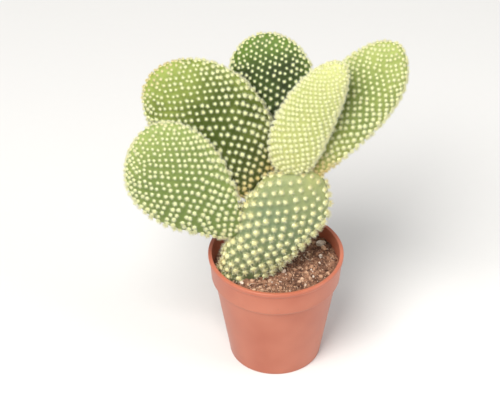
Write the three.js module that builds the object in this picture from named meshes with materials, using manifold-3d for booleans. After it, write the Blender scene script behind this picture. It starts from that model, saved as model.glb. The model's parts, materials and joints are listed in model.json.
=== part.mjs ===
// Potted prickly pear: a leaning foot pad with five daughter pads, planted in a small round pot of peat.
// Millimetres, +Z up. The origin is the centre of the pot's underside, and the front of the plant faces -Y.

import * as THREE from 'three';
import { ConvexHull } from 'three/addons/math/ConvexHull.js';
import { mergeVertices } from 'three/addons/utils/BufferGeometryUtils.js';
import Module from 'manifold-3d';

const wasm = await Module();
wasm.setup();

// Clearance that touching pieces keep, and what the flats of a faceted cutter add to it
const GAP = 0.3;
const FACET_SLACK = 0.15;

// Pot, an injection moulded 5.5 cm nursery pot
const POT_HEIGHT = 50;
const RIM_RADIUS = 27.5;
const LIP_HEIGHT = 1.6;
const LIP_OVERHANG = 0.6;
const COLLAR_HEIGHT = 11.3;
const COLLAR_FOOT_RADIUS = 26.2;
const STEP_DROP = 1.2;
const BODY_TOP_RADIUS = 24.8;
const BASE_RADIUS = 18.6;
const WALL = 1.0;
const FLOOR_UNDERSIDE = 1.0;
const FLOOR_THICKNESS = 1.1;
const FLOOR_FILLET = 1.0;
const FOOT_RING_WIDTH = 1.6;
const CENTRE_DISC_RADIUS = 5;
const CHAMFER = 0.5;
const POT_SIDES = 44;
const DRAIN_HOLES = 6;
const DRAIN_RADIUS = 2.1;
const DRAIN_CIRCLE = 11.5;
const DRAIN_SIDES = 12;

// Peat: mean level at the pot's axis, its rise toward +X and -Y, and the size of its crumbs
const SOIL_LEVEL = 43.4;
const SOIL_RISE_X = 0.045;
const SOIL_RISE_FRONT = 0.02;
const CRUMB_HEIGHT = 1.3;
const SOIL_RINGS = 8;
const SOIL_SIDES = 36;
const SOIL_HOLE_STEPS = 12;
const SOIL_HOLE_SIDES = 24;

// Areoles: a tuft is a three-sided point of short bristles. They stand on a golden-angle lattice of
// six-sided cells, and none stands right at the foot or the tip, in the peat or against another pad.
const TUFT_RADIUS = 0.8;
const TUFT_HEIGHT = 1.3;
const CLEAR_OF_NEIGHBOUR = 1.5;
const GOLDEN = (Math.sqrt(5) - 1) / 2;
const CELL_AREA = Math.sqrt(3) / 2;
const LAST_TUFT_SHARE = 0.9995;
const FIRST_TUFT_STEPS = 1.5;

// Pads. foot and tip are the ends of the mid line, face is the azimuth from -Y toward +X and the rise of
// the broad side's normal in degrees, widest is where the outline is widest, neck its share of the width
// left at the foot, taper and crown shape the outline below and above that, and bend pushes the middle
// sideways. spacing is the distance between areoles.
const PADS = {
  pad_base: {
    foot: [-18.3, -6.7, 37], tip: [15.4, 0.2, 90.8], face: [5, 7],
    width: 31.2, thickness: 13, widest: 0.71, neck: 0.3, taper: 1.4, crown: 1.6, bend: 0.9,
    spacing: 5.3, tuft: 1.3, color: '#7d9464',
  },
  pad_lower_left: {
    foot: [-15.6, -5.7, 64.1], tip: [-50, -5.6, 114.5], face: [4, 5],
    width: 38.4, thickness: 9, widest: 0.62, neck: 0.16, taper: 1.1, crown: 1.86, bend: 4.4,
    spacing: 4.15, tuft: 1, color: '#90a76b',
  },
  pad_upper_left: {
    foot: [-4.9, 1.3, 82.2], tip: [-48.1, 15.3, 126.6], face: [0, 32],
    width: 39.8, thickness: 9, widest: 0.56, neck: 0.3, taper: 0.69, crown: 2.02, bend: -3,
    spacing: 4.15, tuft: 1, color: '#7b9448',
  },
  pad_centre_back: {
    foot: [8.7, 3.7, 77.8], tip: [-7.3, 34.4, 132.1], face: [-10, 25],
    width: 33.3, thickness: 9, widest: 0.7, neck: 0.16, taper: 0.75, crown: 2.05, bend: -0.3,
    spacing: 4.15, tuft: 1, color: '#6f8a45',
  },
  pad_right_front: {
    foot: [3.4, 0.8, 89.9], tip: [24.2, -3.2, 143.8], face: [-32, -35],
    width: 20.7, thickness: 9, widest: 0.35, neck: 0.22, taper: 0.42, crown: 2.1, bend: 2.2,
    spacing: 4.05, tuft: 1, color: '#b3b877',
  },
  pad_right_back: {
    foot: [14.6, 1, 89.7], tip: [46.1, 11.5, 143.1], face: [-12, 20],
    width: 25.5, thickness: 9, widest: 0.69, neck: 0.16, taper: 1.1, crown: 1.7, bend: 1,
    spacing: 4.15, tuft: 1, color: '#9fb36b',
  },
};

// How the thickness follows the outline, and how full the section's edge is against an ellipse
const THICKNESS_POWER = 0.6;
const EDGE_POWER = 0.84;

// Areoles crowd along the margin and toward the tip
const MARGIN_CROWDING = 0.5;
const MARGIN_SHARPNESS = 6;
const APEX_CROWDING = 0.7;
const APEX_START = 0.72;

// Steps of the table that shares out a pad's surface, and of the plain pad that cuts its neighbours
const PROFILE_STEPS = 120;
const SECTION_STEPS = 96;
const CUTTER_STEPS = 18;
const CUTTER_SIDES = 32;
const CUTTER_EASE = 1.7;
const CAP_SHARE = 0.012;
const CAP_SIDES = 10;

// Roots: tapered strands that leave a short crown under the foot pad
const ROOT_COUNT = 7;
const ROOT_STEPS = 4;
const ROOT_SIDES = 5;
const ROOT_RADIUS = 1.3;
const ROOT_TIP_RADIUS = 0.4;
const ROOT_REACH = 7;
const ROOT_DEPTH = 21;
const CROWN_SIDES = 12;
const STRAND_START = 2.4;

// The crown's rings as a distance under the foot pad and a share of the pad's foot
const CROWN_RINGS = [[0, 0.62], [3.2, 0.42], [4.6, 0.16]];

// A strand's route in shares of its reach, of its drift to the middle of the pot and of its depth
const STRAND_ROUTE = [[0, 0, 0], [0.45, 0.2, 0.3], [0.85, 0.5, 0.65], [1, 0.65, 1]];

// Turns a geometry into a solid and back
function solidOf(geometry) {
  const bare = geometry.clone();
  bare.deleteAttribute('normal');
  bare.deleteAttribute('uv');
  const merged = mergeVertices(bare, 1e-4);
  return new wasm.Manifold(new wasm.Mesh({
    numProp: 3,
    vertProperties: new Float32Array(merged.attributes.position.array),
    triVerts: new Uint32Array(merged.index.array),
  }));
}

function geometryOf(solid) {
  const mesh = solid.getMesh();
  const geometry = new THREE.BufferGeometry();
  geometry.setAttribute('position', new THREE.BufferAttribute(mesh.vertProperties, 3));
  geometry.setIndex(new THREE.BufferAttribute(mesh.triVerts, 1));
  geometry.computeVertexNormals();
  return geometry;
}

function largestBody(solid) {
  const bodies = solid.decompose();
  bodies.sort((a, b) => b.volume() - a.volume());
  return bodies[0];
}

function indexed(points, triangles) {
  const geometry = new THREE.BufferGeometry();
  geometry.setAttribute('position', new THREE.Float32BufferAttribute(points.flatMap((p) => p.toArray()), 3));
  geometry.setIndex(triangles.flat());
  geometry.computeVertexNormals();
  return geometry;
}

// A skin over closed rings with the same number of points, with a point at each end
function loft(rings, start, end) {
  const sides = rings[0].length;
  const points = [start, ...rings.flat(), end];
  const last = points.length - 1;
  const at = (ring, side) => 1 + ring * sides + (side % sides);
  const triangles = [];
  for (let side = 0; side < sides; side += 1) {
    triangles.push([0, at(0, side + 1), at(0, side)]);
    for (let ring = 0; ring + 1 < rings.length; ring += 1) {
      triangles.push([at(ring, side), at(ring, side + 1), at(ring + 1, side)]);
      triangles.push([at(ring, side + 1), at(ring + 1, side + 1), at(ring + 1, side)]);
    }
    triangles.push([last, at(rings.length - 1, side), at(rings.length - 1, side + 1)]);
  }
  return indexed(points, triangles);
}

// The shape of one pad: its axes, its outline and a point of its surface
class Pad {
  constructor(size) {
    Object.assign(this, size);
    this.foot = new THREE.Vector3(...size.foot);
    this.tip = new THREE.Vector3(...size.tip);
    this.length = this.foot.distanceTo(this.tip);
    this.axis = this.tip.clone().sub(this.foot).normalize();
    const [azimuth, rise] = size.face.map(THREE.MathUtils.degToRad);
    this.normal = new THREE.Vector3(
      Math.sin(azimuth) * Math.cos(rise),
      -Math.cos(azimuth) * Math.cos(rise),
      Math.sin(rise),
    );
    this.normal.addScaledVector(this.axis, -this.normal.dot(this.axis)).normalize();
    this.across = this.normal.clone().cross(this.axis);
    this.measure();
  }

  // Share of the full width at t, from 0 at the foot to 1 at the tip
  outline(t) {
    if (t > this.widest) {
      const u = Math.min((t - this.widest) / (1 - this.widest), 1);
      return (1 - u ** this.crown) ** (1 / this.crown);
    }
    const u = Math.min((this.widest - t) / this.widest, 1);
    return (1 - (1 - this.neck ** (1 / this.taper)) * u ** 2) ** this.taper;
  }

  // Surface point at t and at an angle round the section, grown outward by grow
  point(t, angle, grow = 0) {
    const share = this.outline(t);
    const wide = (this.width / 2) * share + grow;
    const thick = (this.thickness / 2) * share ** THICKNESS_POWER + grow;
    const sine = Math.sin(angle);
    const depth = Math.sign(sine) * Math.abs(sine) ** EDGE_POWER;
    return this.foot.clone()
      .addScaledVector(this.axis, this.length * t)
      .addScaledVector(this.across, this.bend * 4 * t * (1 - t) + wide * Math.cos(angle))
      .addScaledVector(this.normal, thick * depth);
  }

  // True where a point lies inside the pad grown by grow
  holds(point, grow) {
    const offset = point.clone().sub(this.foot);
    const t = offset.dot(this.axis) / this.length;
    if (t < -grow / this.length || t > 1 + grow / this.length) return false;
    const inner = Math.min(Math.max(t, 0), 1);
    const share = this.outline(inner);
    const wide = (this.width / 2) * share + grow;
    const thick = (this.thickness / 2) * share ** THICKNESS_POWER + grow;
    const side = (offset.dot(this.across) - this.bend * 4 * inner * (1 - inner)) / wide;
    return side ** 2 + (offset.dot(this.normal) / thick) ** 2 < 1;
  }

  // Tables of girth and area, crowded toward the apex and the margins
  measure() {
    this.bands = [];
    this.total = 0;
    for (let i = 0; i < PROFILE_STEPS; i += 1) {
      // Bands get narrower toward the tip, where the outline turns fastest
      const t0 = 1 - (1 - i / PROFILE_STEPS) ** 2;
      const t1 = 1 - (1 - (i + 1) / PROFILE_STEPS) ** 2;
      const middle = (t0 + t1) / 2;
      const arcs = [0];
      let girth = 0;
      let weighted = 0;
      let surface = 0;
      for (let k = 0; k < SECTION_STEPS; k += 1) {
        const a0 = (2 * Math.PI * k) / SECTION_STEPS;
        const a1 = (2 * Math.PI * (k + 1)) / SECTION_STEPS;
        const run = this.point(middle, a0).distanceTo(this.point(middle, a1));
        const rise = this.point(t0, a0).distanceTo(this.point(t1, a0));
        const crowd = 1 + MARGIN_CROWDING * Math.abs(Math.cos((a0 + a1) / 2)) ** MARGIN_SHARPNESS;
        girth += run;
        weighted += run * rise * crowd;
        surface += run * rise;
        arcs.push(weighted);
      }
      const crowd = 1 + APEX_CROWDING * THREE.MathUtils.smoothstep(middle, APEX_START, 1);
      const band = { t0, t1, girth, arcs, start: this.total, run: surface / girth };
      this.total += weighted * crowd;
      band.end = this.total;
      this.bands.push(band);
    }
  }

  // t and angle at a share of the crowded area and a share of the way round
  locate(share, turn) {
    const target = Math.min(Math.max(share, 0), 1) * this.total;
    const band = this.bands.find((item) => item.end >= target) ?? this.bands.at(-1);
    const inside = (target - band.start) / (band.end - band.start);
    const t = band.t0 + (band.t1 - band.t0) * inside;
    const wanted = (((turn % 1) + 1) % 1) * band.arcs.at(-1);
    const next = band.arcs.findIndex((arc) => arc >= wanted && arc > 0);
    const before = band.arcs[next - 1];
    const step = next - 1 + (wanted - before) / (band.arcs[next] - before);
    return { t, angle: (2 * Math.PI * step) / SECTION_STEPS, band };
  }

  // The pad without its areoles, grown by grow, as a plain solid whose rings get closer toward the tip
  plain(grow, steps, sides) {
    const rings = [];
    for (let i = 0; i < steps; i += 1) {
      const t = 1 - (1 - i / steps) ** CUTTER_EASE;
      rings.push([]);
      for (let k = 0; k < sides; k += 1) {
        rings[i].push(this.point(t, (2 * Math.PI * k) / sides, grow));
      }
      if (i === 0) rings[0].forEach((p) => p.addScaledVector(this.axis, -grow));
    }
    const foot = this.foot.clone().addScaledVector(this.axis, -grow);
    const tip = this.tip.clone().addScaledVector(this.axis, grow);
    return solidOf(loft(rings, foot, tip));
  }
}

// Ball direction for a share of the area and of the turn, which settles which points are neighbours
function onBall(share, turn) {
  const z = 2 * (CAP_SHARE + (1 - CAP_SHARE) * share) - 1;
  const radius = Math.sqrt(Math.max(0, 1 - z * z));
  const angle = 2 * Math.PI * turn;
  return new THREE.Vector3(radius * Math.cos(angle), radius * Math.sin(angle), z);
}

// One closed skin whose areoles stand on a golden-angle lattice. isBare says where none may stand.
function areolePad(pad, isBare) {
  const count = Math.round(pad.total / (CELL_AREA * pad.spacing ** 2));
  const points = [];
  const ball = [];
  const tufts = [];
  const add = (point, direction) => {
    points.push(point);
    ball.push(direction);
    return points.length - 1;
  };

  add(pad.foot.clone(), new THREE.Vector3(0, 0, -1));
  for (let k = 0; k < CAP_SIDES; k += 1) {
    const turn = (k + 0.5) / CAP_SIDES;
    add(pad.point(0, pad.locate(0, turn).angle), onBall(0, turn));
  }
  add(pad.tip.clone(), new THREE.Vector3(0, 0, 1));

  const tuftRadius = TUFT_RADIUS * pad.tuft;
  const tuftHeight = TUFT_HEIGHT * pad.tuft;
  for (let k = 0; k < count; k += 1) {
    const share = (k + 0.5) / count;
    const turn = (k * GOLDEN) % 1;
    const { t, angle, band } = pad.locate(share, turn);
    const centre = pad.point(t, angle);
    const girth = Math.max(band.girth, 4 * Math.PI * tuftRadius);
    const shareStep = (tuftRadius * (band.end - band.start)) / (band.run * pad.total);
    const atEnd = share + shareStep > LAST_TUFT_SHARE || share < FIRST_TUFT_STEPS * shareStep;
    if (atEnd || isBare(centre)) {
      add(centre, onBall(share, turn));
      continue;
    }
    tufts.push([0, 1, 2].map((corner) => {
      const spin = (2 * Math.PI * (corner + GOLDEN * k)) / 3;
      const ringShare = share + shareStep * Math.cos(spin);
      const ringTurn = turn + (tuftRadius * Math.sin(spin)) / girth;
      const place = pad.locate(ringShare, ringTurn);
      return add(pad.point(place.t, place.angle), onBall(ringShare, ringTurn));
    }));
  }

  const numberOf = new Map(ball.map((direction, number) => [direction, number]));
  const key = (corners) => [...corners].sort((p, q) => p - q).join();
  const tuftKeys = new Set(tufts.map(key));
  const triangles = [];
  for (const { edge } of new ConvexHull().setFromPoints(ball).faces) {
    const corners = [edge.prev, edge, edge.next].map((side) => numberOf.get(side.head().point));
    if (!tuftKeys.has(key(corners))) {
      triangles.push(corners);
      continue;
    }
    const [a, b, c] = corners;
    const face = new THREE.Triangle(points[a], points[b], points[c]);
    const up = face.getNormal(new THREE.Vector3());
    points.push(face.getMidpoint(new THREE.Vector3()).addScaledVector(up, tuftHeight));
    const top = points.length - 1;
    triangles.push([a, b, top], [b, c, top], [c, a, top]);
  }
  return indexed(points, triangles);
}

// Height of the peat at a place: a gentle slope with crumbs of three sizes, from about 11 to 3 mm
function soilHeight(x, y) {
  const crumbs = 0.45 * Math.sin(0.55 * x + 1.3) * Math.cos(0.48 * y - 0.4)
    + 0.3 * Math.sin(1.15 * x - 0.9 * y)
    + 0.25 * Math.cos(1.7 * y + 0.8 * x + 2);
  return SOIL_LEVEL + SOIL_RISE_X * x - SOIL_RISE_FRONT * y + CRUMB_HEIGHT * crumbs;
}

// Levels and radii that the pot and the peat share
const COLLAR_FOOT = POT_HEIGHT - COLLAR_HEIGHT;
const BODY_TOP = COLLAR_FOOT - STEP_DROP;
const COLLAR_TOP_RADIUS = RIM_RADIUS - LIP_OVERHANG;
const FLOOR_TOP = FLOOR_UNDERSIDE + FLOOR_THICKNESS;
const lerp = THREE.MathUtils.lerp;

// Outer radius of the body at a height
function bodyRadius(z) {
  return lerp(BASE_RADIUS, BODY_TOP_RADIUS, z / BODY_TOP);
}

function toVectors(pairs) {
  return pairs.map(([radius, z]) => new THREE.Vector2(radius, z));
}

// Half section from the underside, up the outside, over the rim and down the inside
function potProfile() {
  return toVectors([
    [0, 0],
    [CENTRE_DISC_RADIUS, 0],
    [CENTRE_DISC_RADIUS + CHAMFER, FLOOR_UNDERSIDE],
    [BASE_RADIUS - FOOT_RING_WIDTH - CHAMFER, FLOOR_UNDERSIDE],
    [BASE_RADIUS - FOOT_RING_WIDTH, 0],
    [BASE_RADIUS - CHAMFER, 0],
    [BASE_RADIUS, CHAMFER],
    [BODY_TOP_RADIUS, BODY_TOP],
    [COLLAR_FOOT_RADIUS, COLLAR_FOOT],
    [COLLAR_TOP_RADIUS, POT_HEIGHT - LIP_HEIGHT - CHAMFER],
    [RIM_RADIUS, POT_HEIGHT - LIP_HEIGHT],
    [RIM_RADIUS, POT_HEIGHT - CHAMFER],
    [RIM_RADIUS - CHAMFER, POT_HEIGHT],
    [COLLAR_TOP_RADIUS - WALL + CHAMFER, POT_HEIGHT],
    [COLLAR_TOP_RADIUS - WALL, POT_HEIGHT - CHAMFER],
    [COLLAR_FOOT_RADIUS - WALL, COLLAR_FOOT + CHAMFER],
    [BODY_TOP_RADIUS - WALL, BODY_TOP - CHAMFER],
    [bodyRadius(FLOOR_TOP + FLOOR_FILLET) - WALL, FLOOR_TOP + FLOOR_FILLET],
    [bodyRadius(FLOOR_TOP) - WALL - FLOOR_FILLET, FLOOR_TOP],
    [0, FLOOR_TOP],
  ]);
}

function turned(profile, sides) {
  return new THREE.LatheGeometry(profile, sides).rotateX(Math.PI / 2);
}

function makePot() {
  let pot = solidOf(turned(potProfile(), POT_SIDES));
  const depth = 3 * FLOOR_TOP;
  for (let k = 0; k < DRAIN_HOLES; k += 1) {
    const angle = (2 * Math.PI * (k + 0.5)) / DRAIN_HOLES;
    const hole = new THREE.CylinderGeometry(DRAIN_RADIUS, DRAIN_RADIUS, depth, DRAIN_SIDES);
    hole.rotateX(Math.PI / 2);
    hole.translate(DRAIN_CIRCLE * Math.cos(angle), DRAIN_CIRCLE * Math.sin(angle), FLOOR_TOP / 2);
    pot = pot.subtract(solidOf(hole));
  }
  return geometryOf(pot);
}

// Where the crown is at a distance under the foot pad, as it turns straight down
function crownCentre(pad, distance) {
  return pad.foot.clone().addScaledVector(pad.axis, -GAP).setZ(pad.foot.z - GAP * pad.axis.z - distance);
}

// The short woody crown that the foot pad grows from, a blunt cone that is widened by grow on every side
function makeCrown(pad, grow) {
  const points = [];
  for (const [distance, share] of CROWN_RINGS) {
    const wide = (pad.width / 2) * pad.neck * share;
    const thick = (pad.thickness / 2) * pad.neck ** THICKNESS_POWER * share;
    for (let k = 0; k < CROWN_SIDES; k += 1) {
      const angle = (2 * Math.PI * k) / CROWN_SIDES;
      points.push(crownCentre(pad, distance)
        .addScaledVector(pad.across, wide * Math.cos(angle))
        .addScaledVector(pad.normal, thick * Math.sin(angle)));
    }
  }
  const corners = grow > 0 ? [-grow, grow] : [0];
  const widened = points.flatMap((p) => corners.flatMap((x) => corners.flatMap((y) => corners
    .map((z) => [p.x + x, p.y + y, p.z + z]))));
  return wasm.Manifold.hull(widened);
}

// One tapered strand along a curve
function makeStrand(curve, grow) {
  const frames = curve.computeFrenetFrames(ROOT_STEPS);
  const rings = [];
  for (let i = 0; i <= ROOT_STEPS; i += 1) {
    const radius = lerp(ROOT_RADIUS, ROOT_TIP_RADIUS, i / ROOT_STEPS) + grow;
    const centre = curve.getPointAt(i / ROOT_STEPS);
    if (i === 0) centre.addScaledVector(frames.tangents[0], -grow);
    rings.push([]);
    for (let side = 0; side < ROOT_SIDES; side += 1) {
      const angle = (2 * Math.PI * side) / ROOT_SIDES;
      rings[i].push(centre.clone()
        .addScaledVector(frames.normals[i], radius * Math.cos(angle))
        .addScaledVector(frames.binormals[i], radius * Math.sin(angle)));
    }
  }
  const start = curve.getPointAt(0).addScaledVector(frames.tangents[0], -grow);
  const tip = curve.getPointAt(1).addScaledVector(frames.tangents[ROOT_STEPS], ROOT_TIP_RADIUS + grow);
  return solidOf(loft(rings, start, tip));
}

// The foot pad's crown and roots, grown by grow so that the peat keeps clear of them
function makeRoots(pad, grow) {
  const start = crownCentre(pad, STRAND_START);
  const toMiddle = new THREE.Vector3(-start.x, -start.y, 0);
  let roots = makeCrown(pad, grow);
  for (let k = 0; k < ROOT_COUNT; k += 1) {
    const heading = 2 * Math.PI * (k * GOLDEN + 0.2);
    const reach = ROOT_REACH * (0.75 + 0.25 * Math.sin(5 * k + 1));
    const depth = ROOT_DEPTH * (0.8 + 0.2 * Math.cos(3 * k));
    const out = new THREE.Vector3(Math.cos(heading), Math.sin(heading), 0);
    const route = STRAND_ROUTE.map(([outShare, driftShare, depthShare]) => start.clone()
      .addScaledVector(out, reach * outShare)
      .addScaledVector(toMiddle, driftShare)
      .setZ(start.z - depth * depthShare));
    roots = roots.add(makeStrand(new THREE.CatmullRomCurve3(route), grow));
  }
  return roots;
}

// Peat that fills the pot to under the rim, with plain holes for the foot pad and its roots
function makeSoil(pad) {
  const floor = FLOOR_TOP + GAP;
  const slack = WALL + GAP;
  const collarShare = (SOIL_LEVEL - COLLAR_FOOT) / COLLAR_HEIGHT;
  const topRadius = lerp(COLLAR_FOOT_RADIUS, COLLAR_TOP_RADIUS, collarShare) - slack;
  const half = [
    [0, floor],
    [bodyRadius(floor) - slack - FLOOR_FILLET, floor],
    [bodyRadius(floor + FLOOR_FILLET) - slack, floor + FLOOR_FILLET],
    [bodyRadius(BODY_TOP - CHAMFER) - slack, BODY_TOP - CHAMFER],
    [COLLAR_FOOT_RADIUS - slack, COLLAR_FOOT + 2 * CHAMFER],
  ];
  for (let ring = 0; ring <= SOIL_RINGS; ring += 1) {
    half.push([topRadius * (1 - ring / SOIL_RINGS), SOIL_LEVEL]);
  }
  const block = turned(toVectors(half), SOIL_SIDES);
  const position = block.attributes.position;
  for (let i = 0; i < position.count; i += 1) {
    if (position.getZ(i) > SOIL_LEVEL - GAP) {
      position.setZ(i, soilHeight(position.getX(i), position.getY(i)));
    }
  }
  const foot = pad.plain(GAP, SOIL_HOLE_STEPS, SOIL_HOLE_SIDES);
  return geometryOf(largestBody(solidOf(block).subtract(foot).subtract(makeRoots(pad, GAP))));
}

function mesh(name, geometry, color, roughness) {
  const material = new THREE.MeshStandardMaterial({ color, roughness, metalness: 0 });
  const piece = new THREE.Mesh(geometry, material);
  piece.name = name;
  return piece;
}

const plant = new THREE.Group();
plant.add(mesh('pot', makePot(), '#c4613f', 0.45));

const pads = Object.entries(PADS).map(([name, size]) => Object.assign(new Pad(size), { name }));
const [basePad] = pads;
const placed = [];
for (const pad of pads) {
  const others = pads.filter((other) => other !== pad);
  const isBare = (point) => point.z < soilHeight(point.x, point.y) + CLEAR_OF_NEIGHBOUR
    || others.some((other) => other.holds(point, CLEAR_OF_NEIGHBOUR + GAP));
  let skin = solidOf(areolePad(pad, isBare));
  for (const neighbour of placed) {
    skin = skin.subtract(neighbour.plain(GAP + FACET_SLACK, CUTTER_STEPS, CUTTER_SIDES));
  }
  placed.push(pad);
  plant.add(mesh(pad.name, geometryOf(largestBody(skin)), pad.color, 0.6));
}

plant.add(mesh('roots', geometryOf(makeRoots(basePad, 0)), '#b89a6c', 0.85));
plant.add(mesh('soil', makeSoil(basePad), '#4a3528', 0.95));

export default plant;
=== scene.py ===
"""Young prickly pear with bristle tufts, in a small nursery pot of peat.

Sizes in PADS, in PALE_GRAINS and under names that end in _MM are in millimetres, and all others are in
metres. The origin is the centre of the pot's underside, +Z is up, and the front of the plant faces -Y.
"""

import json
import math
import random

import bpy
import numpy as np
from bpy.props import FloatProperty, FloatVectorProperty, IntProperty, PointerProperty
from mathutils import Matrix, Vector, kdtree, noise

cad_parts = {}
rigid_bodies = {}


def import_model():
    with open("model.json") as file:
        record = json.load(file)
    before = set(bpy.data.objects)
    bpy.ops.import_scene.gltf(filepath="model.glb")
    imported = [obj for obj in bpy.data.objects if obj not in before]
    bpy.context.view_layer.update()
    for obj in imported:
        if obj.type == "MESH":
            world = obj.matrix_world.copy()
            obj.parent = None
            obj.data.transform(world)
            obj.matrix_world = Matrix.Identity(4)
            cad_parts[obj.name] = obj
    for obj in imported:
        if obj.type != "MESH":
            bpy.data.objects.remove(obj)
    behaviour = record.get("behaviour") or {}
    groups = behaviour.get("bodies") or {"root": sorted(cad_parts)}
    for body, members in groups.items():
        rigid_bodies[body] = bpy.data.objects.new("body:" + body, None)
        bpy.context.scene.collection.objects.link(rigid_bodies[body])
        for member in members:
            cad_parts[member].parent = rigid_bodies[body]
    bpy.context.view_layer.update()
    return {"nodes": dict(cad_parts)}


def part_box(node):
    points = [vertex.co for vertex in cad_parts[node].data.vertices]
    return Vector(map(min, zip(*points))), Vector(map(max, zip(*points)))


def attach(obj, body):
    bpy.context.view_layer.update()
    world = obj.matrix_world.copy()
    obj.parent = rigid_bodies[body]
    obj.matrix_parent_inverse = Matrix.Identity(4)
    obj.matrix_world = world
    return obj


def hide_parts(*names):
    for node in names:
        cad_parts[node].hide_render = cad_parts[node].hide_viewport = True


bl_info = {
    "name": "Potted Prickly Pear",
    "version": (1, 0, 0),
    "blender": (4, 5, 0),
    "location": "3D View > Sidebar > Prickly Pear",
    "description": "Builds a young prickly pear with bristle tufts in a small nursery pot of peat",
    "category": "Object",
}

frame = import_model()

MM = 0.001
GOLDEN = (math.sqrt(5) - 1) / 2
POT_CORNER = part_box("pot")[1]
RIM_RADIUS = POT_CORNER.x
POT_HEIGHT = POT_CORNER.z

# Pads. foot and tip are the ends of the mid line in millimetres, face is the azimuth from -Y toward +X
# and the rise of the broad side's normal in degrees, widest is where the outline is widest, neck its share
# of the width left at the foot, taper and crown shape the outline below and above that, and bend pushes the
# middle sideways. spacing is the distance between areoles, and crowd how many more there are on a patch at
# the tip and at the foot. tuft is their size, and nod leans them to the pad's tip and stretches them along
# the pad. joint, apex and heart age them from cream to golden at the pad's foot, at its tip and in the middle
# of each tuft. skin has the colours of the broad side, of the margin and of the foot. fresh, where a pad has
# one, is how far up the pad its skin starts to pale toward the tip.
PADS = {
    "base": {
        "foot": (-18.3, -6.7, 37), "tip": (15.4, 0.2, 90.8), "face": (5, 7),
        "width": 31.2, "thickness": 13, "widest": 0.71, "neck": 0.3, "taper": 1.4, "crown": 1.6,
        "bend": 0.9, "spacing": 4.8, "crowd": (0.1, 0.6), "tuft": 1.9, "nod": 1.2, "joint": 0.15,
        "apex": 0.2, "heart": 0.42, "skin": ("#6f8060", "#9ea268", "#67724c"),
    },
    "lower_left": {
        "foot": (-15.6, -5.7, 64.1), "tip": (-50, -5.6, 114.5), "face": (4, 5),
        "width": 38.4, "thickness": 9, "widest": 0.62, "neck": 0.16, "taper": 1.1, "crown": 1.86,
        "bend": 4.4, "spacing": 4.05, "crowd": (1.6, 0.8), "tuft": 1.2, "nod": 0.3, "joint": 0.15,
        "apex": 0.08, "heart": 0.05, "skin": ("#687a3f", "#98a65e", "#6f8144"),
    },
    # The upper left pad's near-black foot colour is painted shade at its joint.
    "upper_left": {
        "foot": (-4.9, 1.3, 82.2), "tip": (-48.1, 15.3, 126.6), "face": (0, 32),
        "width": 39.8, "thickness": 9, "widest": 0.56, "neck": 0.3, "taper": 0.69, "crown": 2.02,
        "bend": -3, "spacing": 4.05, "crowd": (1.5, 1.1), "tuft": 1.2, "nod": 0.3, "joint": 0.75,
        "apex": 0.4, "heart": 0.05, "skin": ("#36450f", "#97a550", "#2a290b"),
    },
    # The centre back pad's skin colours are darkened, and its paling starts late, as painted shade: the shade
    # of the pads and plants around it.
    "centre_back": {
        "foot": (8.7, 3.7, 77.8), "tip": (-7.3, 34.4, 132.1), "face": (-10, 25),
        "width": 33.3, "thickness": 9, "widest": 0.7, "neck": 0.16, "taper": 0.75, "crown": 2.05,
        "bend": -0.3, "spacing": 4.2, "crowd": (1.8, 0.4), "tuft": 1.15, "nod": 0.3, "joint": 0.3,
        "apex": 0.1, "heart": 0.05, "skin": ("#131c04", "#6a8634", "#0c1104"), "paling_start": 0.75,
    },
    "right_front": {
        "foot": (3.4, 0.8, 89.9), "tip": (24.2, -3.2, 143.8), "face": (-32, -35),
        "width": 20.7, "thickness": 9, "widest": 0.35, "neck": 0.22, "taper": 0.42, "crown": 2.1,
        "bend": 2.2, "spacing": 3.0, "crowd": (1.3, 0.5), "tuft": 1.05, "nod": 1.1, "joint": 0.08,
        "apex": 0.03, "heart": 0.03, "skin": ("#adb46e", "#c6c886", "#b6b874"),
    },
    "right_back": {
        "foot": (14.6, 1, 89.7), "tip": (46.1, 11.5, 143.1), "face": (-12, 20),
        "width": 25.5, "thickness": 9, "widest": 0.69, "neck": 0.16, "taper": 1.1, "crown": 1.7,
        "bend": 1, "spacing": 3.6, "crowd": (1.5, 1.4), "tuft": 1.15, "nod": 0.3, "joint": 0.6,
        "apex": 0.08, "heart": 0.05, "skin": ("#748443", "#a5af62", "#a3a75a"),
    },
}

OTHER_SIZES = (
    "widest", "neck", "taper", "crown", "crowd", "tuft", "nod", "joint", "apex", "heart", "skin",
)

# How the thickness follows the outline, and how full the section is against an ellipse
THICKNESS_POWER = 0.6
EDGE_POWER = 0.84

# Areoles crowd along the margin, toward the tip and at the foot, in cells with six neighbours. They then
# push each other apart to even distances, and stray from their places by a share of their distance.
MARGIN_CROWDING = 1.5
MARGIN_SHARPNESS = 6
APEX_START = 0.3
FOOT_END = 0.3
STRAY = 0.05
SETTLING_ROUNDS = 15
SETTLING_REACH = 1.25
SETTLING_SHARE = 0.3
CELL_AREA = math.sqrt(3) / 2
PROFILE_STEPS = 120
SECTION_STEPS = 96
AREOLE_CLEARANCE_MM = 0.5

# Tufts over a pad, from its foot at 0 to its tip at 1. Their age is 0 where they are cream and 1 where they
# are golden. They are larger on the margin and smaller toward the tip, and each differs a little by chance.
JOINT_AGE_FADE = (0.02, 0.26)
TIP_AGE_RISE = (0.88, 1.0)
MARGIN_AGE = 0.08
CHANCE_AGE = 0.1
MARGIN_GROWTH = 0.3
TIP_SHRINKING = 0.35
SHRINKING_START = 0.3
SMALLEST_TUFT = 0.86
TUFT_SIZE_RANGE = 0.28
TUFT_STRETCH = 0.5
WOOL_AGE = 0.7

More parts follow.
